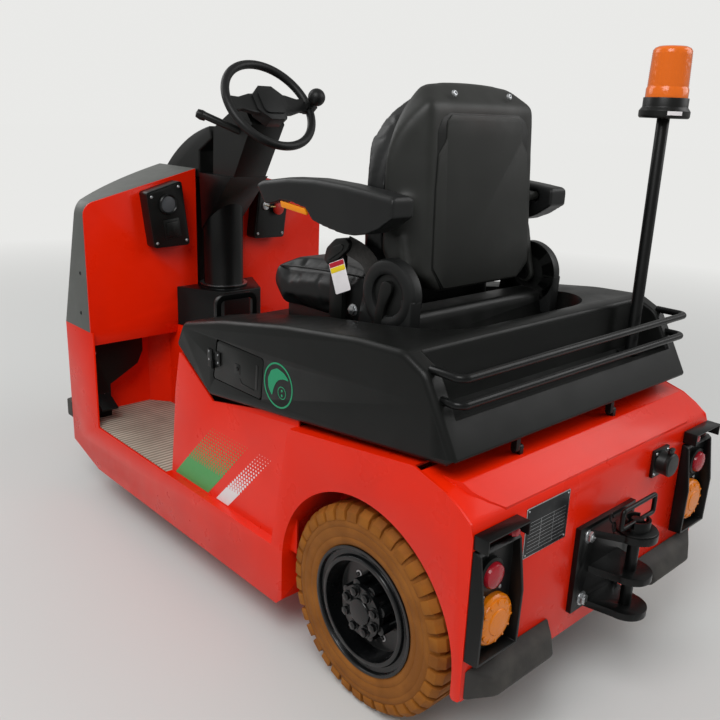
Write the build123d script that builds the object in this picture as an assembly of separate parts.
from build123d import *
import os
from math import cos, radians, sin

# Electric tow tractor, three wheels, sit-on. Millimetres.
# +Z up, front faces -Y, the vehicle's left is +X. While modelling, Y = 0 is the rear axle
# and Z = 0 the ground; export moves the whole along Y to centre its box on the origin.

# Overall
HALF_W = 453.0            # outer skin to mid-plane
WHEELBASE = 1300.0
SKIN = 5.0                # steel body sheet
MOVE_GAP = 5.0            # between pieces that move past each other
RUN_GAP = 0.05            # radial running clearance of a pin or shaft
SEAT_GAP = 0.3            # between a soft or curved piece and its seat

# Rear wheels
TYRE_R = 233.0
TYRE_W = 128.0
RIM_R = 145.0
WHEEL_INSET = 5.0         # tyre face inside the skin
WHEEL_X = HALF_W - WHEEL_INSET - TYRE_W / 2
ARCH_R = TYRE_R + 31.0
LINER = 4.0
AXLE_R = 45.0
STUB_AXLE_R = 22.0
STUB_AXLE_REACH = 40.0    # past the middle of the wheel

# Steered front wheel
FRONT_TYRE_R = 150.0
FRONT_TYRE_W = 96.0
FRONT_RIM_R = 92.0
FRONT_AXLE_R = 12.0
CROWN_GAP = 30.0          # tyre to fork crown
FORK_R = 95.0
FORK_T = 22.0
LEG_T = 12.0
LEG_HALF = 38.0
KINGPIN_R = 28.0
CROWN_Z = 380.0
CROWN_T = 12.0

# Body steelwork
REAR_FACE = TYRE_R + 54.0              # outer face of the rear plate
REAR_BOTTOM = 190.0
SILL_BOTTOM = 107.0
SILL_TOP = 258.0
WAIST_Z = 566.0           # top of the steel nose, foot of the plastic cowl
POST_FRONT = -WHEELBASE - 118.0        # front corner of the side skin
DASH_Y = -WHEELBASE + 62.0             # rear face of the dashboard sheet
POST_REAR = DASH_Y + 14.0              # front edge of the step opening
FOOT_WALL_Y = POST_FRONT + 53.0
NOSE_BULGE = 82.0         # how far the nose bows out at the mid-plane
NOSE_BOTTOM = 157.0
BUMPER_OUT = 40.0         # front bumper strip in front of the nose
BUMPER_Z = (230.0, 288.0)
FENDER_FOOT = -ARCH_R - 43.0           # where the fender's front edge meets the ledge
FENDER_TOP = -ARCH_R + 17.0
FENDER_Z = 572.0
SHOULDER = [(134.0, 623.0), (215.0, 601.0), (250.0, 582.0), (REAR_FACE - 8, 561.0), (REAR_FACE, 538.0)]
DECK_Z = 611.0            # raised deck under the battery cover's tail
DECK_EDGE = 221.0
DECK_X = HALF_W - 33.0

# Battery box and floor
PANEL_X = HALF_W - 25.0   # recessed side panel
PANEL_FRONT = -809.0
PANEL_EDGE = [(PANEL_FRONT, 257.0), (-776.0, 508.0), (-750.0, 620.0)]
FLOOR_T = 6.0
MAT_T = 5.0
TRAY_Z = 115.0
BULKHEAD_Y = -ARCH_R - 21.0
FRAME_X = WHEEL_X - TYRE_W / 2 - 18.0  # longitudinal frame plates
FRAME_Z = 525.0

# Housing over the steered wheel, half widths at each station
HOUSING = [               # (y, half width)
    (FOOT_WALL_Y, 196.0),
    (-WHEELBASE, 148.0),
    (-WHEELBASE + 130.0, 146.0),
    (-WHEELBASE + 222.0, 71.0),
]
HOUSING_TOP = 548.0
PEDESTAL_TOP = 677.0

# Cowl and dashboard
ROOF_SIDE_Z = 955.0       # where the roof plane would meet the side
ROOF_Z = 1053.0
ROOF_CORNER_R = 42.0
HOOD_X = 65.0             # half width of the hood over the column
LIP_DEPTH = 15.0          # the dashboard's foot is folded forward to LIP_Z
LIP_Z = 520.0
COWL_RAKE = 0.33          # the cowl's lean back, per height
LAMP_X = 300.0
LAMP_Z = 760.0
LAMP_R = 55.0

# Steering column
COLUMN_Y = -WHEELBASE + 110.0
COLUMN_R = 65.0
HEAD_Z = 1042.0
WHEEL_Y = COLUMN_Y + 255.0
WHEEL_Z = 1256.0
WHEEL_TILT = 52.0         # steering wheel axis from the vertical
STEER_R = 155.0
STEER_GRIP_R = 12.5
STEER_SHAFT_R = 12.0
KNOB_TURN = 2.0          # spinner knob round the rim from the right-hand spoke

# Battery cover, its bowl for the seat and its rear tray
COVER_X = HALF_W - 13.0
COVER_T = 5.0
COVER_EDGE_R = 14.0
COVER_OUTLINE = [         # (y, z, corner radius)
    (-747.0, 647.0, 14.0),
    (-712.0, 713.0, 30.0),
    (-535.0, 755.0, 300.0),
    (-288.0, 797.0, 600.0),
    (-53.0, 825.0, 600.0),
    (76.0, 830.0, 50.0),
    (137.0, 800.0, 40.0),
    (165.0, 751.0, 60.0),
    (219.0, 653.0, 6.0),
    (201.0, 637.0, 4.0),
    (160.0, 633.0, 0.0),
    (-590.0, 548.0, 20.0),
]
COVER_TAIL = (219.0, 653.0)
BOWL_X = 305.0
BOWL_FRONT = -760.0
BOWL_REAR = 50.0
BOWL_Z = 700.0
BOWL_R = 150.0
TRAY_X = COVER_X - 45.0
TRAY_FRONT = 88.0
TRAY_REAR = 168.0
TRAY_FLOOR = 706.0
TRAY_LIP = 9.0
RIDGE_R = 14.0
RAILS = [                 # (z, y where it leaves the cheek)
    (752.0, 160.0),
    (803.0, 130.0),
]
RAIL_Y = 205.0
RAIL_R = 8.0
HINGE_Y = 205.0
HINGE_Z = 624.0
HINGE_X = [-115.0, 231.0]             # left faces of the two hinge ears
HINGE_W = 12.0
HINGE_R = 7.0
HINGE_PIN_R = 3.5
HATCH = [(-543, 702), (-359, 700), (-368, 606), (-564, 606)]
HATCH_HINGE = (COVER_X + 4.5, -564.0)  # (x, y) of the hatch's upright hinge pin
HATCH_BARREL_R = 4.0
COVER_HINGE_LEAF = (-1, 628.0, 648.0)  # (side, low z, high z)
DOOR_HINGE_LEAF = (1, 648.5, 676.0)

# Seat
SEAT_X = 235.0
SLIDE_H = 16.0
FRAME_TOP = 765.0
CUSHION_SIDE = [          # (y, z, corner radius)
    (-250.0, FRAME_TOP + SEAT_GAP, 8.0),
    (-572.0, FRAME_TOP + SEAT_GAP, 22.0),
    (-618.0, 818.0, 40.0),
    (-602.0, 866.0, 22.0),
    (-380.0, 889.0, 300.0),
    (-250.0, 897.0, 14.0),
]
CUSHION_R = 20.0
PIVOT_Y = -143.0
PIVOT_Z = 870.0
RECLINER_R = 79.0
RECLINER_X = (240.0, 262.0)
PAD_REAR = -205.0
PAD_FOOT = 918.0
BACK_TOP = 1320.0
PAD_SHOULDER = ((190.0, 1212.0), (90.0, 1297.0))       # (x, z) bend and end of the rounding
SHELL_SHOULDER = ((214.0, 1224.0), (140.0, 1309.0))
SKIRT = [                 # (y, z, corner radius) of the moulding below the seat back
    (-205.0, 745.0, 0.0),
    (-100.0, 735.0, 6.0),
    (-90.0, 762.0, 12.0),
    (-106.0, 828.0, 16.0),
    (-160.0, 832.0, 0.0),
    (-205.0, 800.0, 12.0),
]
ARM_Y = -150.0
ARM_Z = 1062.0
ARM_X = 275.5
ARM_HALF = 32.5
ARM_STUB_R = 14.0
ARM_SIDE = [(-576, 1070), (-553, 1081), (-453, 1096), (-359, 1101), (-255, 1098), (-162, 1091), (-104, 1085),
            (-99, 1078), (-99, 1042), (-140, 1015), (-176, 1000), (-217, 992), (-251, 991), (-310, 999),
            (-357, 1009), (-376, 1032), (-444, 1043), (-477, 1041), (-508, 1031), (-536, 1026), (-557, 1044)]

# Beacon
POLE_X = 84.0 - TRAY_X
POLE_Y = 130.0
POLE_R = 14.0
BEACON_Z = 1258.0
BEACON_R = 55.0
LENS_Z = 1302.0
LENS_R = 46.0
LENS_H = 108.0

# Rear lamps: guards, lenses and hoods, measured in from the outer skin
GUARD_W = 123.0
GUARD_IN = 2.0
GUARD_WALL = 7.0
GUARD_SIDE = [(0.0, 282.0), (31.0, 284.0), (33.0, 400.0), (17.0, 505.0), (9.0, 512.0), (0.0, 512.0)]
LAMP_HOOD_Z = (517.0, 546.0)
LAMP_HOOD_OUT = 33.0
TURN_LENS = (HALF_W - 64.0, 353.0, 52.0)   # (x, z, radius)
STOP_LENS = (HALF_W - 51.0, 452.0, 26.0)
MARKER_LENS = (HALF_W - 97.0, 528.0, 11.0)

# Hitch
HITCH_PLATE = 110.0       # half side of the bolted base plate
HITCH_PLATE_T = 12.0
HITCH_Z = 340.0
HITCH_PIN_Y = REAR_FACE + 75.0
HITCH_PIN_R = 12.5
JAW_T = 16.0
JAW_R = 46.0
JAWS = [                  # (mid height, half width at the base plate)
    (246.0, 60.0),
    (330.0, 60.0),
    (424.0, 78.0),
]
HITCH_BOLT = 75.0
CUP_R = 28.0
CUP_WALL = 5.0
CUP_H = 26.0
BAIL_X = 65.0
BAIL_TOP = 494.0
BAIL_ROD = 5.0
SOCKET_X = -212.0
SOCKET_Z = 503.0
SOCKET_R = 20.0           # mouth of the trailer socket
SOCKET_OUT = 28.0
SOCKET_DEPTH = 20.0


def block(x0, x1, y0, y1, z0, z1):
    return Pos((x0 + x1) / 2, (y0 + y1) / 2, (z0 + z1) / 2) * Box(x1 - x0, y1 - y0, z1 - z0)


def rod(axis, radius, start, length):
    # a cylinder from the point start along "x", "y" or "z"
    turn = {"x": Rot(0, 90, 0), "y": Rot(-90, 0, 0), "z": Rot(0, 0, 0)}[axis]
    base = Cylinder(radius, length, align=(Align.CENTER, Align.CENTER, Align.MIN))
    return Pos(*start) * turn * base


def outline(points):
    # a flat outline; a point may carry a third number, its corner radius
    shape = Polygon(*[p[:2] for p in points], align=None)
    for point in points:
        if len(point) > 2 and point[2]:
            corner = min(shape.vertices(), key=lambda v: (v.X - point[0]) ** 2 + (v.Y - point[1]) ** 2)
            shape = fillet(corner, point[2])
    return shape


def side_prism(points, x0, x1):
    # an outline of (y, z) points pushed from x0 to x1
    return extrude(Plane.YZ.offset(x0) * outline(points), amount=x1 - x0, dir=(1, 0, 0))


def plan_prism(points, z0, z1):
    # an outline of (x, y) points pushed from z0 to z1
    return extrude(Plane.XY.offset(z0) * outline(points), amount=z1 - z0, dir=(0, 0, 1))


def face_prism(points, y0, y1):
    # an outline of (x, z) points pushed from y0 to y1
    return extrude(Plane.XZ.offset(-y0) * outline(points), amount=y1 - y0, dir=(0, 1, 0))


def turned(points):
    # an outline of (radius, along) points turned about the axis X
    return Rot(0, 90, 0) * revolve(Plane.XZ * outline(points), axis=Axis.Z)


def mirrored(shape):
    return mirror(shape, about=Plane.YZ)


def both_ways(points):
    # right-hand points of an outline, then their mirror images back
    return points + [(-x, *rest) for x, *rest in reversed(points)]


def side_edges(solid, x, low_z):
    # edges of both flat sides at x, above low_z
    return [e for e in solid.edges() if abs(abs(e.center().X) - x) < 0.5 and e.center().Z > low_z]


def bow_radius(half_chord, sagitta):
    return (half_chord ** 2 + sagitta ** 2) / (2 * sagitta)


def nose_y(x):
    # the bowed nose line at x
    radius = bow_radius(HALF_W, NOSE_BULGE)
    return POST_FRONT - NOSE_BULGE + radius - (radius ** 2 - x ** 2) ** 0.5


def nose_slab(offset, z0, z1, rear_y):
    # the space behind the bowed nose line, offset outwards, back to rear_y
    radius = bow_radius(HALF_W, NOSE_BULGE)
    centre_y = POST_FRONT - NOSE_BULGE + radius
    disc = rod("z", radius + offset, (0, centre_y, z0), z1 - z0)
    return disc & block(-HALF_W, HALF_W, POST_FRONT - NOSE_BULGE - offset - 1, rear_y, z0, z1)


# Body steelwork

def side_skin():
    points = [
        (FENDER_TOP - 39, SILL_BOTTOM), (DASH_Y - 4, SILL_BOTTOM), (POST_FRONT, NOSE_BOTTOM),
        (POST_FRONT, WAIST_Z), (POST_REAR, WAIST_Z), (POST_REAR, SILL_TOP),
        (FENDER_FOOT, SILL_TOP), (FENDER_TOP, FENDER_Z, 12), *SHOULDER,
        (REAR_FACE, REAR_BOTTOM, 8), (ARCH_R, 184, 8), (ARCH_R, TYRE_R),
        (-ARCH_R, TYRE_R), (-ARCH_R, 128),
    ]
    skin = side_prism(points, HALF_W - SKIN, HALF_W)
    return skin - rod("x", ARCH_R, (HALF_W - 2 * SKIN, 0, TYRE_R), 4 * SKIN)


def side_panel():
    inner_x = PANEL_X - SKIN
    inside = HALF_W - SKIN
    recess = side_prism([(PANEL_FRONT, SILL_TOP - SKIN), *PANEL_EDGE, (-735, 620), (-590, 530),
                         (FENDER_TOP + 7, 600), (FENDER_TOP + 7, SILL_TOP - SKIN)], inner_x, PANEL_X)
    ledge = block(PANEL_X, inside, PANEL_FRONT, FENDER_FOOT + SKIN, SILL_TOP - SKIN, SILL_TOP)
    step = side_prism([(FENDER_FOOT, SILL_TOP), (FENDER_TOP, FENDER_Z), (FENDER_TOP + SKIN, FENDER_Z),
                       (FENDER_FOOT + SKIN, SILL_TOP)], PANEL_X, inside)
    top_y, top_z = SHOULDER[0]
    strip = side_prism([(FENDER_TOP, FENDER_Z), (top_y, top_z), (top_y, top_z - SKIN),
                        (FENDER_TOP, FENDER_Z - SKIN)], FRAME_X, inside)
    width = inside - FRAME_X
    ring = rod("x", ARCH_R + LINER, (FRAME_X, 0, TYRE_R), width) - rod("x", ARCH_R, (FRAME_X, 0, TYRE_R), width)
    ring &= block(FRAME_X, HALF_W, -2 * ARCH_R, 2 * ARCH_R, TYRE_R, TYRE_R + 2 * ARCH_R)
    liners = block(FRAME_X, inside, -ARCH_R - LINER, -ARCH_R, 128, TYRE_R)
    liners += block(FRAME_X, inside, ARCH_R, ARCH_R + LINER, REAR_BOTTOM, TYRE_R)
    return side_skin() + recess + ledge + step + strip + ring + liners


def nose_body():
    rear = DASH_Y - LIP_DEPTH - 1
    shell = nose_slab(0, NOSE_BOTTOM, WAIST_Z, rear)
    shell -= nose_slab(-SKIN, NOSE_BOTTOM - 1, WAIST_Z - SKIN, rear + 1)
    return shell & block(-HALF_W + SKIN, HALF_W - SKIN, POST_FRONT - 2 * NOSE_BULGE, 0, 0, 2 * WAIST_Z)


def roof_outline(inset):
    # the dashboard and the cowl seen from behind, without the gap for the column
    half = HALF_W - inset
    side = [(half, ROOF_SIDE_Z - inset, ROOF_CORNER_R - inset), (70.0, ROOF_Z - inset)]
    return both_ways([(half, WAIST_Z), *side])


def dashboard():
    sheet = face_prism(roof_outline(0), DASH_Y - SKIN, DASH_Y)
    sheet -= block(-70, 70, DASH_Y - SKIN - 1, DASH_Y + 1, WAIST_Z + 100, ROOF_Z + 1)
    foot = DASH_Y - LIP_DEPTH
    lip = side_prism([(DASH_Y, WAIST_Z), (DASH_Y, WAIST_Z - SKIN), (foot + SKIN, LIP_Z), (foot, LIP_Z),
                      (DASH_Y - SKIN, WAIST_Z)], -HALF_W + SKIN, HALF_W - SKIN)
    return sheet + (lip - plan_prism(housing_outline(-1), LIP_Z - 1, WAIST_Z))


def housing_outline(inset):
    side = [(half - inset, y) for y, half in HOUSING]
    side[0] = (side[0][0], HOUSING[0][0] - 1 - inset)
    side[-1] = (side[-1][0], HOUSING[-1][0] - inset)
    return both_ways(side)


def floor_pan():
    floor_top = SILL_TOP - MAT_T - 1
    width = HALF_W - SKIN
    plate = block(-width, width, FOOT_WALL_Y, PANEL_FRONT, floor_top - FLOOR_T, floor_top)
    wall = block(-width, width, FOOT_WALL_Y - SKIN, FOOT_WALL_Y, floor_top - FLOOR_T, WAIST_Z - SKIN)
    pan = plate + wall
    pan += plan_prism(housing_outline(0), floor_top - FLOOR_T, HOUSING_TOP)
    pan -= plan_prism(housing_outline(SKIN), 0, CROWN_Z)
    pan -= plan_prism(housing_outline(SKIN), CROWN_Z + CROWN_T, HOUSING_TOP + 1)
    pan -= rod("z", KINGPIN_R + RUN_GAP, (0, -WHEELBASE, 0), WAIST_Z)
    return pan


def floor_mat():
    margin = 4.0
    width = HALF_W - SKIN - margin
    top = SILL_TOP - 1
    mat = block(-width, width, FOOT_WALL_Y + margin, PANEL_FRONT - margin, top - MAT_T, top)
    keep_out = [(half + margin, y) for y, half in HOUSING]
    keep_out[0] = (keep_out[0][0] + margin, FOOT_WALL_Y - 1)
    keep_out[-1] = (keep_out[-1][0], HOUSING[-1][0] + margin)
    return mat - plan_prism(both_ways(keep_out), top - MAT_T - 1, top + 1)


def chassis():
    inner = PANEL_X - SKIN
    floor_low = SILL_TOP - MAT_T - 1 - FLOOR_T
    line = [(PANEL_FRONT, TRAY_Z), *PANEL_EDGE]
    wall = line + [(y + SKIN, z) for y, z in reversed(line)]
    frame = block(-inner, inner, PANEL_FRONT, BULKHEAD_Y, TRAY_Z, TRAY_Z + SKIN)
    frame += side_prism(wall, -inner, inner)
    frame += block(-inner, inner, BULKHEAD_Y, BULKHEAD_Y + SKIN, TRAY_Z, FENDER_Z - 12)
    for side in (-1, 1):
        x = sorted((side * (FRAME_X - 2 * SKIN), side * FRAME_X))
        frame += block(*x, BULKHEAD_Y, REAR_FACE - SKIN, REAR_BOTTOM, FRAME_Z)
        x = sorted((side * (inner - 60), side * inner))
        frame += block(*x, FOOT_WALL_Y - SKIN, PANEL_FRONT, floor_low - 70, floor_low)
    return frame - rod("x", AXLE_R, (-FRAME_X, 0, TYRE_R), 2 * FRAME_X)


def deck_space():
    # all that lies under the rear deck's top face
    low = side_prism(SHOULDER + [(REAR_FACE, 0), (150, 0)], -HALF_W, HALF_W)
    return low + deck_rise()


def deck_rise():
    # the raised flat deck, its rear corners cut back
    tail_y, tail_z = SHOULDER[-2]
    rise = side_prism([(165, 604), (165, DECK_Z), (DECK_EDGE, DECK_Z, 6), (tail_y, tail_z + 3),
                       (tail_y, tail_z - 4), (250, 578), (215, 597)], -DECK_X, DECK_X)
    corner = [(DECK_X, 150), (DECK_X, DECK_EDGE - 16), (DECK_X - 14, DECK_EDGE + 18),
              (DECK_X - 40, DECK_EDGE + 40), (DECK_X - 80, REAR_FACE)]
    return rise & plan_prism(both_ways(corner), 500, 700)


def rear_body():
    outer = [(150, 618), *SHOULDER[1:3], (*SHOULDER[3], 30), SHOULDER[4]]
    inner = [(REAR_FACE - SKIN, REAR_BOTTOM), (REAR_FACE - SKIN, 536), (275, 556), (247, 577),
             (213, 596), (150, 613)]
    shell = side_prism(outer + [(REAR_FACE, REAR_BOTTOM)] + inner, -HALF_W + SKIN, HALF_W - SKIN)
    return shell + deck_rise()


REAR_BUMPER = [           # (out from the rear face, z, corner radius)
    (0.0, 190.0, 0.0),
    (34.0, 190.0, 8.0),
    (43.0, 205.0, 10.0),
    (28.0, 238.0, 30.0),
    (0.0, 258.0, 0.0),
]
REAR_BUMPER_PLAN = [(445, 0), (371, 44), (211, 44), (179, 0)]      # (x, out from the rear face)


def rubber_bumpers():
    low, high = BUMPER_Z
    band = nose_slab(BUMPER_OUT, low, high, POST_FRONT + 20)
    band -= nose_slab(0.0, low - 1, high + 1, POST_FRONT + 21)
    rear = side_prism([(REAR_FACE + out, z, r) for out, z, r in REAR_BUMPER], 0, HALF_W)
    rear &= plan_prism([(x, REAR_FACE + out) for x, out in REAR_BUMPER_PLAN], 0, WAIST_Z)
    return [band, rear, mirrored(rear)]


# Front cowl, hood and controls

def cowl_solid(inset):
    # the raked, bowed front, cut to the roof outline
    front = POST_FRONT + inset
    half = HALF_W - inset
    back = DASH_Y - SKIN
    top_z = ROOF_Z + 7
    rake = COWL_RAKE * (top_z - WAIST_Z)

    def section(z, y, bulge):
        arc = ThreePointArc((-half, y, z), (0, y - bulge, z), (half, y, z))
        rest = Polyline((half, y, z), (half, back, z), (-half, back, z), (-half, y, z))
        return make_face(arc.edges() + rest.edges())

    high_y = min(front + rake, back - 15)
    body = loft([section(WAIST_Z, front, NOSE_BULGE), section(top_z, high_y, NOSE_BULGE + rake - 30)])
    return body & face_prism(roof_outline(inset), POST_FRONT - 2 * NOSE_BULGE, back)


def front_cowl():
    shell = cowl_solid(0) - cowl_solid(SKIN)
    shell -= block(-HOOD_X, HOOD_X, POST_FRONT - 2 * NOSE_BULGE, DASH_Y + 1, HEAD_Z - 60, ROOF_Z + 60)
    for lamp in headlamps():
        shell -= lamp
    return shell


def column_hood():
    # low front, crown and high rear points of the hood's top line
    low, crown, high = (COLUMN_Y - 290, 1000), (COLUMN_Y - 160, 1112), (COLUMN_Y + 30, 1188)
    edge = ThreePointArc(low, crown, high)
    rest = Polyline(high, (COLUMN_Y + 40, 1150), (COLUMN_Y - 32, 1110), (COLUMN_Y - 32, HEAD_Z - 14),
                    (COLUMN_Y - 250, HEAD_Z - 42), low)
    face = make_face(edge.edges() + rest.edges())
    return extrude(Plane.YZ.offset(-HOOD_X) * face, amount=2 * HOOD_X, dir=(1, 0, 0))


def headlamps():
    face = nose_y(LAMP_X) + 45
    return [rod("y", LAMP_R, (side * LAMP_X, face, LAMP_Z), 62) for side in (-1, 1)]


def instrument_boxes():
    box = face_prism([(272, 988, 10), (150, 1022, 10), (124, 820, 10), (250, 817, 10)], DASH_Y, DASH_Y + 48)
    return [box, mirrored(box)]


def pedal_frame():
    out = HALF_W - 13
    wall = FOOT_WALL_Y + 57
    plate = face_prism([(out, LIP_Z), (250, LIP_Z), (250, 461), (270, 420), (out - 71, 366),
                        (out - 71, SILL_TOP - 1), (out, SILL_TOP - 1)], wall, wall + 8)
    plate += side_prism([(wall + 8, 330), (wall + 68, 300), (wall + 70, 306), (wall + 8, 338)], 375, 430)
    return [plate, mirrored(plate)]


def column_pedestal():
    side = [(150, DASH_Y), (71, HOUSING[-1][0])]
    return plan_prism(both_ways(side), HOUSING_TOP, PEDESTAL_TOP)


def steering_column():
    tube = rod("z", COLUMN_R, (0, COLUMN_Y, PEDESTAL_TOP), HEAD_Z - 20 - PEDESTAL_TOP)
    collar = rod("z", COLUMN_R + 12, (0, COLUMN_Y, PEDESTAL_TOP), 7)
    rear = COLUMN_Y + 154
    bracket = side_prism([(COLUMN_Y - 28, HEAD_Z), (rear, HEAD_Z), (COLUMN_Y + 65, 950), (COLUMN_Y - 18, 866)],
                         -69, 69)
    return tube + collar + bracket


def steering_frame():
    return Pos(0, WHEEL_Y, WHEEL_Z) * Rot(-WHEEL_TILT, 0, 0)


def steering_console():
    out = radians(WHEEL_TILT)
    step = 38.0
    hub = (WHEEL_Y - step * sin(out), WHEEL_Z - step * cos(out))
    points = [(COLUMN_Y + 40, HEAD_Z), (COLUMN_Y + 154, HEAD_Z),
              (hub[0] + 40 * cos(out), hub[1] - 40 * sin(out)), hub,
              (hub[0] - 40 * cos(out), hub[1] + 40 * sin(out)), (COLUMN_Y + 45, 1183)]
    console = side_prism(points, -60, 60)
    bore = steering_frame() * Pos(0, 0, -60) * Cylinder(STEER_SHAFT_R + RUN_GAP, 70)
    return console - bore


def column_stalks():
    stalks = []
    for side in (-1, 1):
        start = (side * 40, COLUMN_Y + 190, 1171)
        end = (side * 150, COLUMN_Y + 130, 1222)
        line = Line(start, end)
        stalk = sweep(Plane(origin=start, z_dir=line % 0) * Circle(11), path=line)
        stalks.append(stalk - block(-60, 60, COLUMN_Y - 100, COLUMN_Y + 400, HEAD_Z, 1300))
    return stalks


def steering_wheel():
    ring = STEER_R - STEER_GRIP_R
    grip = Torus(ring, STEER_GRIP_R)
    hub = Pos(0, 0, -26) * extrude(RegularPolygon(62, 8, rotation=22.5), amount=38)
    hub += Pos(0, 0, 8) * extrude(RectangleRounded(78, 78, 18), amount=10)
    arm = [(ring, 24), (104, 20), (66, 32), (0, 36)]
    spokes = Pos(0, 0, -7) * extrude(Polygon(*both_ways(arm), *[(x, -y) for x, y in reversed(both_ways(arm))],
                                             align=None), amount=13)
    shaft = Pos(0, 0, -45) * Cylinder(STEER_SHAFT_R, 60)
    clamp = Pos(-ring, 0, 2) * Box(36, 26, 34)
    stem = Pos(-ring, 0, 26) * Cylinder(9, 36)
    knob = Pos(-ring, 0, 50) * Sphere(26)
    spinner = Rot(0, 0, -KNOB_TURN) * (clamp + stem + knob)
    return steering_frame() * (grip + hub + spokes + shaft + spinner)


# Battery cover and what stands on it

def cover_hollow():
    # the space under the cover, open at the bottom
    top = [p[:2] for p in COVER_OUTLINE[:9]]
    shape = outline(top + [(top[-1][0], 300.0), (top[0][0], 300.0)])
    inner = offset(shape, amount=-COVER_T, kind=Kind.INTERSECTION)
    half = COVER_X - COVER_T
    return extrude(Plane.YZ.offset(-half) * inner, amount=2 * half, dir=(1, 0, 0))


def bowl_space(grow):
    x = BOWL_X + grow
    rear = BOWL_REAR + grow
    return plan_prism([(-x, BOWL_FRONT - grow), (x, BOWL_FRONT - grow), (x, rear, BOWL_R + grow),
                       (-x, rear, BOWL_R + grow)], BOWL_Z - grow, BOWL_Z + 300)


def tray_space(grow):
    x = TRAY_X + grow
    space = block(-x, x, TRAY_FRONT - grow, TRAY_REAR + grow, TRAY_FLOOR - grow, TRAY_FLOOR + 300)
    return space + block(-x, x, TRAY_FRONT - grow, 2 * TRAY_REAR, TRAY_FLOOR + TRAY_LIP - grow, TRAY_FLOOR + 300)


def ridge_round():
    # what is cut off the ridge between bowl and tray to round its rear edge
    y, z = TRAY_FRONT - RIDGE_R, 830.0 - RIDGE_R
    return block(-TRAY_X, TRAY_X, y, TRAY_FRONT + 1, z, z + 40) - rod("x", RIDGE_R, (-TRAY_X, y, z), 2 * TRAY_X)


def cover_outer():
    body = side_prism(COVER_OUTLINE, -COVER_X, COVER_X)
    body = fillet(side_edges(body, COVER_X, 660), COVER_EDGE_R)
    body = body - bowl_space(0) - tray_space(0)
    lip = TRAY_FLOOR + TRAY_LIP + 1
    inner = [e for e in side_edges(body, TRAY_X, lip) if e.center().Y > TRAY_FRONT and abs(e.tangent_at(0.5).X) < 0.1]
    return fillet(inner, 8) - ridge_round()


def hinge_ears():
    # ears on the cover's foot, round the pins that the brackets carry
    ears = None
    for x in HINGE_X:
        ear = rod("x", HINGE_R, (x, HINGE_Y, HINGE_Z), HINGE_W)
        low, high = HINGE_Y - HINGE_R, HINGE_Y + HINGE_R
        ear += side_prism([(low, HINGE_Z), (high, HINGE_Z), (high, COVER_TAIL[1] + 8), (low, COVER_TAIL[1] + 33)],
                          x, x + HINGE_W)
        ear -= rod("x", HINGE_PIN_R + RUN_GAP, (x - 1, HINGE_Y, HINGE_Z), HINGE_W + 2)
        ears = ear if ears is None else ears + ear
    return ears


def hinge_brackets():
    brackets = []
    for x in HINGE_X:
        foot = block(x - 1 - HINGE_W, x - 1, HINGE_Y - HINGE_R, HINGE_Y + HINGE_R, 570, HINGE_Z)
        foot += rod("x", HINGE_R, (x - 1 - HINGE_W, HINGE_Y, HINGE_Z), HINGE_W)
        foot += rod("x", HINGE_PIN_R, (x - 2, HINGE_Y, HINGE_Z), HINGE_W + 4)
        brackets.append(foot - deck_space())
    return brackets


def battery_cover():
    cover = cover_outer() - (cover_hollow() - bowl_space(COVER_T) - tray_space(COVER_T))
    cover -= hatch_solid(MOVE_GAP, COVER_X - 2 * COVER_T, COVER_X + 1)
    return cover + hinge_ears() + hatch_hinge(COVER_HINGE_LEAF)


def hatch_solid(grow, x0, x1):
    (y0, z0), (y1, z1), (y2, z2), (y3, z3) = HATCH
    return side_prism([(y0 - grow, z0 + grow, 8), (y1 + grow, z1 + grow, 8), (y2 + grow, z2 - grow, 8),
                       (y3 - grow, z3 - grow, 8)], x0, x1)


def hatch_hinge(leaf):
    # a leaf and barrel on the cover (side -1) or on the door (side 1)
    side, low, high = leaf
    x, y = HATCH_HINGE
    far = y + side * 24
    plate = block(COVER_X, COVER_X + 2, min(y, far), max(y, far), low, high)
    barrel = rod("z", HATCH_BARREL_R, (x, y, low), high - low)
    if side < 0:
        return plate + barrel + rod("z", 2, (x, y, low), high - low + 20)
    return plate + barrel - rod("z", 2 + RUN_GAP, (x, y, low - 1), high - low + 2)


def cover_hatch():
    return hatch_solid(0, COVER_X - COVER_T, COVER_X) + hatch_hinge(DOOR_HINGE_LEAF)


def cover_rails():
    cover = cover_outer()
    rails = []
    x = TRAY_X + 21
    for z, start in RAILS:
        corners = FilletPolyline((x, start, z), (x, RAIL_Y, z), (-x, RAIL_Y, z), (-x, start, z), radius=18)
        rail = sweep(Plane(origin=(x, start, z), z_dir=(0, 1, 0)) * Circle(RAIL_R), path=corners)
        rails.append(rail - cover)
    handle = face_prism([(215, 690), (215, 770, 24), (343, 770, 24), (343, 690)], -712, -698)
    handle -= face_prism([(229, 680), (229, 756, 12), (329, 756, 12), (329, 680)], -713, -697)
    return rails + [handle - cover]


def seat_slide():
    return [block(x - 15, x + 15, -555, -170, BOWL_Z, BOWL_Z + SLIDE_H) for x in (-135, 135)]


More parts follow.
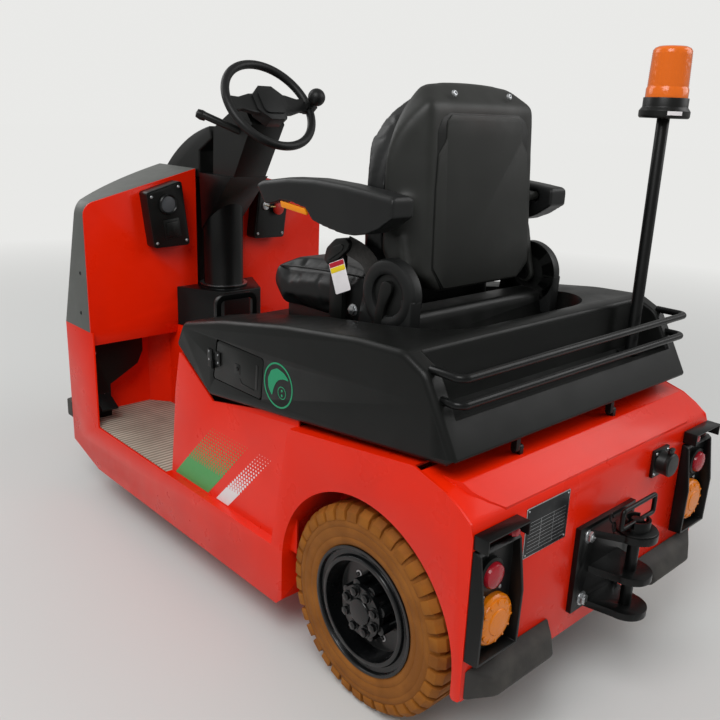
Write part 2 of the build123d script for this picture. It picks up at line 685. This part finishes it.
def seat_frame():
    low = BOWL_Z + SLIDE_H + SEAT_GAP
    inner, outer = RECLINER_X
    frame = block(-200, 200, -575, -150, low, FRAME_TOP)
    frame += side_prism([(-152, FRAME_TOP - 7), (-108, 770), (-108, 774), (-152, FRAME_TOP)], -225, 225)
    frame += side_prism(SKIRT, -inner - 1, inner + 1)
    for side in (-1, 1):
        x = sorted((side * inner, side * outer))
        frame += rod("x", RECLINER_R, (x[0], PIVOT_Y, PIVOT_Z), outer - inner)
        frame += block(*x, PIVOT_Y - 70, PIVOT_Y + 20, low, PIVOT_Z)
        x = sorted((side * 190, side * outer))
        frame += block(*x, PIVOT_Y - 70, PIVOT_Y - 10, low, FRAME_TOP)
        x = sorted((side * (SEAT_X - 20), side * inner))
        frame += rod("x", 15, (x[0], PIVOT_Y, PIVOT_Z), x[1] - x[0])
    return frame


def seat_cushion():
    body = side_prism(CUSHION_SIDE, -SEAT_X, SEAT_X)
    return fillet(side_edges(body, SEAT_X, 0), CUSHION_R)


def back_outline(shoulder):
    # the seat back seen from behind, its shoulders bent through the two points given
    half = SEAT_X + 2
    bend, end = shoulder
    lower = Polyline((-half, 1085), (-half, 955), (-200, 912), (-146, 868), (146, 868), (200, 912), (half, 955),
                     (half, 1085))
    right = ThreePointArc((half, 1085), bend, end)
    crown = ThreePointArc(end, (0, BACK_TOP), (-end[0], end[1]))
    left = ThreePointArc((-end[0], end[1]), (-bend[0], bend[1]), (-half, 1085))
    return make_face(lower.edges() + right.edges() + crown.edges() + left.edges())


def back_slab(shoulder, y0, y1):
    return extrude(Plane.XZ.offset(-y0) * back_outline(shoulder), amount=y1 - y0, dir=(0, 1, 0))


def shell_body():
    half = SEAT_X + 10
    low = [(half, PAD_REAR), (half, -197), (188, -101)]
    high = [(half, PAD_REAR), (half, -200), (172, -132)]
    body = loft([Plane.XY.offset(z) * outline(both_ways(rows)) for z, rows in ((840, low), (1340, high))])
    top = [(PAD_REAR - 1, 830), (PAD_REAR - 1, BACK_TOP + 20), (-188, BACK_TOP + 2, 16), (-124, 1266, 25), (-90, 1240),
           (-90, 830)]
    return body & back_slab(SHELL_SHOULDER, PAD_REAR, 0) & side_prism(top, -SEAT_X - 10, SEAT_X + 10)


def seat_back_shell():
    shell = shell_body()
    for side in (-1, 1):
        x = sorted((side * (SEAT_X - 21), side * SEAT_X))
        shell += side_prism([(-172, 866), (-114, 866), (-145, 1000), (-200, 1000)], *x)
        shell += rod("x", 29, (x[0], PIVOT_Y, PIVOT_Z), 21)
        shell -= rod("x", 15 + RUN_GAP, (x[0] - 1, PIVOT_Y, PIVOT_Z), 23)
        x = sorted((side * 185, side * (SEAT_X + 26)))
        shell += rod("x", ARM_STUB_R, (x[0], ARM_Y, ARM_Z), x[1] - x[0])
    return shell


def seat_back_pad():
    rear = PAD_REAR - SEAT_GAP
    half = SEAT_X + 2
    plan = [(half, rear), (half, -258, 14), (205, -288, 16), (110, -272, 60)]
    pad = back_slab(PAD_SHOULDER, -300, rear) & plan_prism(both_ways(plan), PAD_FOOT, BACK_TOP)
    lean = [(rear, PAD_FOOT), (rear, BACK_TOP), (-225, BACK_TOP, 10), (-262, 1290, 30), (-288, 1230, 60),
            (-288, PAD_FOOT, 18)]
    return pad & side_prism(lean, -half, half)


def armrest():
    body = side_prism(ARM_SIDE, ARM_X - ARM_HALF, ARM_X + ARM_HALF)
    ends = [e for e in body.edges() if abs(abs(e.center().X - ARM_X) - ARM_HALF) < 0.5
            and e.center().Z > 1050 and e.center().Y < -104]
    body = fillet(ends, 12)
    return body - rod("x", ARM_STUB_R + RUN_GAP, (SEAT_X, ARM_Y, ARM_Z), 27)


def belt_buckle():
    return block(242, 258, -345, -300, FRAME_TOP - 30, 940) + block(200, 258, -345, -300, FRAME_TOP - 30, FRAME_TOP - 5)


def beacon_pole():
    foot = rod("z", 32, (POLE_X, POLE_Y, TRAY_FLOOR), 6)
    return foot + rod("z", POLE_R, (POLE_X, POLE_Y, TRAY_FLOOR), BEACON_Z - TRAY_FLOOR)


def beacon_turned(points):
    return Pos(POLE_X, POLE_Y, 0) * revolve(Plane.XZ * outline(points), axis=Axis.Z)


def beacon_base():
    z = BEACON_Z
    return beacon_turned([(0, z), (BEACON_R - 3, z), (BEACON_R, z + 3), (BEACON_R, z + 16), (BEACON_R - 6, z + 24),
                          (BEACON_R - 6, LENS_Z), (0, LENS_Z)])


def beacon_lens():
    z = LENS_Z
    return beacon_turned([(0, z), (LENS_R, z), (LENS_R, z + 20), (LENS_R - 3, z + LENS_H, 16), (0, z + LENS_H)])


# Rear gear

def lamp_guard():
    outer = HALF_W - GUARD_IN
    inner = outer - GUARD_W
    guard = side_prism([(REAR_FACE + out, z) for out, z in GUARD_SIDE], inner, outer)
    low, high = GUARD_SIDE[0][1], GUARD_SIDE[-1][1]
    guard -= block(inner + GUARD_WALL, outer - GUARD_WALL, REAR_FACE + 4, REAR_FACE + 60,
                   low + GUARD_WALL, high - GUARD_WALL)
    z0, z1 = LAMP_HOOD_Z
    hood = block(inner, outer, REAR_FACE, REAR_FACE + LAMP_HOOD_OUT, z0, z1)
    hood -= block(inner + 4, outer - 4, REAR_FACE + 4, REAR_FACE + 60, z0 - 1, z1 - 4)
    return [guard, hood]


def lamp_guards():
    parts = lamp_guard()
    return parts + [mirrored(s) for s in parts]


def lens(place, out, edge):
    x, z, radius = place
    disc = rod("y", radius, (x, REAR_FACE + 4, z), out)
    return fillet(disc.edges().group_by(Axis.Y)[-1], edge)


def stop_lenses():
    lamps = [lens(STOP_LENS, 22, 6), lens(MARKER_LENS, 24, 3)]
    return lamps + [mirrored(s) for s in lamps]


def turn_lenses():
    lamp = lens(TURN_LENS, 24, 9)
    return [lamp, mirrored(lamp)]


def trailer_socket():
    flange = block(SOCKET_X - 33, SOCKET_X + 33, REAR_FACE, REAR_FACE + 8, SOCKET_Z - 33, SOCKET_Z + 33)
    socket = flange + rod("y", 27, (SOCKET_X, REAR_FACE, SOCKET_Z), SOCKET_OUT)
    mouth = REAR_FACE + SOCKET_OUT - SOCKET_DEPTH
    return socket - rod("y", SOCKET_R, (SOCKET_X, mouth, SOCKET_Z), SOCKET_DEPTH + 1)


def jaw_top():
    return JAWS[-1][0] + JAW_T / 2


def hitch_frame():
    half = HITCH_PLATE
    front = REAR_FACE + HITCH_PLATE_T
    frame = block(-half, half, REAR_FACE, front, HITCH_Z - 100, HITCH_Z + 100)
    for z, wide in JAWS:
        taper = [(wide, front - 1), (JAW_R, HITCH_PIN_Y)]
        frame += plan_prism(both_ways(taper), z - JAW_T / 2, z + JAW_T / 2)
        frame += rod("z", JAW_R, (0, HITCH_PIN_Y, z - JAW_T / 2), JAW_T)
    top = jaw_top()
    cup = rod("z", CUP_R, (0, HITCH_PIN_Y, top), CUP_H) - rod("z", CUP_R - CUP_WALL, (0, HITCH_PIN_Y, top), CUP_H + 1)
    cup -= block(-CUP_R - 1, CUP_R + 1, HITCH_PIN_Y - BAIL_ROD - 3, HITCH_PIN_Y + BAIL_ROD + 3,
                 top + CUP_H - 2 * BAIL_ROD - 5, top + CUP_H + 1)
    frame += cup
    frame -= rod("z", HITCH_PIN_R + RUN_GAP, (0, HITCH_PIN_Y, 0), 700)
    for x in (-HITCH_BOLT, HITCH_BOLT):
        for z in (-HITCH_BOLT, HITCH_BOLT):
            frame -= rod("y", 8.5, (x, REAR_FACE - 1, HITCH_Z + z), HITCH_PLATE_T + 2)
    return frame


def hitch_pin():
    low = JAWS[0][0] - JAW_T / 2 - 8
    bar = jaw_top() + CUP_H - BAIL_ROD - 1
    y = HITCH_PIN_Y
    pin = rod("z", HITCH_PIN_R, (0, y, low), bar + BAIL_ROD - low)
    path = FilletPolyline((0, y, bar), (BAIL_X, y, bar), (BAIL_X, y, BAIL_TOP), (-BAIL_X, y, BAIL_TOP),
                          (-BAIL_X, y, bar), (0, y, bar - 0.5), radius=7)
    return pin + sweep(Plane(origin=(0, y, bar), z_dir=(1, 0, 0)) * Circle(BAIL_ROD), path=path)


# Running gear

def rear_axle():
    span = WHEEL_X - TYRE_W / 2 + 8
    axle = rod("x", AXLE_R - 2, (-span, 0, TYRE_R), 2 * span)
    axle += rod("x", 110, (-90, 0, TYRE_R), 180)
    axle += block(-120, 60, -240, -60, TYRE_R - 85, TYRE_R + 85)
    reach = WHEEL_X + STUB_AXLE_REACH
    axle += rod("x", STUB_AXLE_R, (-reach, 0, TYRE_R), 2 * reach)
    for side in (-1, 1):
        x = sorted((side * (FRAME_X - 72), side * (FRAME_X - 2 * SKIN)))
        axle += block(*x, -55, 55, TYRE_R - 55, TYRE_R + 55)
    return axle


def tyre_ring(radius, width, bore):
    # tread, shoulders and bulged side walls, turned as one ring
    half = width / 2
    side = [(bore, half - 7), (bore + 8, half - 2), (bore + (radius - bore) * 0.55, half), (radius - 12, half - 3),
            (radius, half - 15)]
    return turned(side + [(r, -a) for r, a in reversed(side)])


def rear_tyre():
    return Pos(WHEEL_X, 0, TYRE_R) * tyre_ring(TYRE_R, TYRE_W, RIM_R)


RIM_FRONT = [             # (radius, outwards from the middle of the wheel)
    (0.0, 66.0), (28.0, 66.0), (30.0, 63.0), (30.0, 60.0), (58.0, 60.0), (58.0, 46.0), (50.0, 42.0), (50.0, 19.0),
    (104.0, 19.0), (111.0, 48.0), (112.0, 61.0), (121.0, 61.0), (124.0, 52.0), (136.0, 52.0), (138.0, 61.0),
]
RIM_BACK = [
    (138.0, -57.0), (128.0, -50.0), (122.0, -44.0), (118.0, 5.0), (60.0, 5.0), (60.0, -30.0),
]


def rear_rim():
    bore = STUB_AXLE_R + RUN_GAP
    points = RIM_FRONT + [(RIM_R, 61.0), (RIM_R, -57.0)] + RIM_BACK
    points += [(bore, -30.0), (bore, STUB_AXLE_REACH + RUN_GAP), (0.0, STUB_AXLE_REACH + RUN_GAP)]
    return Pos(WHEEL_X, 0, TYRE_R) * turned(points)


def fork_crown():
    return FRONT_TYRE_R * 2 + CROWN_GAP


def front_fork():
    top = fork_crown()
    legs_x = FRONT_TYRE_W / 2 + 10
    fork = rod("z", FORK_R, (0, -WHEELBASE, top), FORK_T)
    fork += rod("z", KINGPIN_R, (0, -WHEELBASE, top), CROWN_Z + CROWN_T + 10 - top)
    fork += rod("z", KINGPIN_R + 12, (0, -WHEELBASE, CROWN_Z + CROWN_T + 0.2), 14)
    for side in (-1, 1):
        x = sorted((side * legs_x, side * (legs_x + LEG_T)))
        fork += block(*x, -WHEELBASE - LEG_HALF, -WHEELBASE + LEG_HALF, FRONT_TYRE_R - 30, top)
    end = legs_x + LEG_T
    return fork + rod("x", FRONT_AXLE_R, (-end, -WHEELBASE, FRONT_TYRE_R), 2 * end)


def front_tyre():
    return Pos(0, -WHEELBASE, FRONT_TYRE_R) * tyre_ring(FRONT_TYRE_R, FRONT_TYRE_W, FRONT_RIM_R)


def front_rim():
    rim = Cylinder(FRONT_RIM_R, FRONT_TYRE_W - 16)
    rim -= Pos(0, 0, 40) * (Cylinder(FRONT_RIM_R - 10, 60) - Cylinder(34, 60))
    rim -= Pos(0, 0, -40) * (Cylinder(FRONT_RIM_R - 10, 60) - Cylinder(34, 60))
    rim += Cylinder(30, FRONT_TYRE_W + 8)
    rim -= Cylinder(FRONT_AXLE_R + RUN_GAP, FRONT_TYRE_W + 20)
    return Pos(0, -WHEELBASE, FRONT_TYRE_R) * Rot(0, 90, 0) * rim


def battery_block():
    half = PANEL_X - 28
    return block(-half, half, -740, BULKHEAD_Y - 15, TRAY_Z + SKIN, 600)


# The whole vehicle

Y_FRONT = POST_FRONT - NOSE_BULGE - BUMPER_OUT
Y_REAR = HITCH_PIN_Y + JAW_R
Y_SHIFT = -(Y_FRONT + Y_REAR) / 2


def solids_of(made):
    return [s for shape in (made if isinstance(made, list) else [made]) for s in shape.solids()]


def write(name, made):
    solids = [s.moved(Location((0, Y_SHIFT, 0))) for s in solids_of(made)]
    whole = Compound(solids) if len(solids) > 1 else solids[0]
    whole.label = name
    export_step(whole, f"parts/{name}.step")


PIECES = {
    "side_panel_left": side_panel, "side_panel_right": lambda: mirrored(side_panel()),
    "nose_body": nose_body, "dashboard": dashboard, "floor_pan": floor_pan, "floor_mat": floor_mat,
    "chassis": chassis, "rear_body": rear_body, "rubber_bumpers": rubber_bumpers,
    "front_cowl": front_cowl, "column_hood": column_hood, "headlamps": headlamps,
    "instrument_boxes": instrument_boxes, "pedal_frame": pedal_frame,
    "column_pedestal": column_pedestal, "steering_column": steering_column,
    "steering_console": steering_console, "column_stalks": column_stalks,
    "steering_wheel": steering_wheel, "battery_cover": battery_cover, "cover_hatch": cover_hatch,
    "cover_rails": cover_rails, "seat_slide": seat_slide, "seat_frame": seat_frame,
    "seat_cushion": seat_cushion, "seat_back_shell": seat_back_shell, "seat_back_pad": seat_back_pad,
    "armrest_left": armrest, "armrest_right": lambda: mirrored(armrest()),
    "belt_buckle": belt_buckle, "beacon_pole": beacon_pole, "beacon_base": beacon_base,
    "beacon_lens": beacon_lens, "lamp_guards": lamp_guards, "stop_lenses": stop_lenses, "turn_lenses": turn_lenses,
    "trailer_socket": trailer_socket, "hinge_brackets": hinge_brackets, "hitch_frame": hitch_frame, "hitch_pin": hitch_pin,
    "rear_axle": rear_axle, "battery_block": battery_block,
    "rear_tyre_left": rear_tyre, "rear_tyre_right": lambda: mirrored(rear_tyre()),
    "rear_rim_left": rear_rim, "rear_rim_right": lambda: mirrored(rear_rim()),
    "front_fork": front_fork, "front_tyre": front_tyre, "front_rim": front_rim,
}

os.makedirs("parts", exist_ok=True)
for piece_name, maker in PIECES.items():
    write(piece_name, maker())
print("moved along Y by", Y_SHIFT)
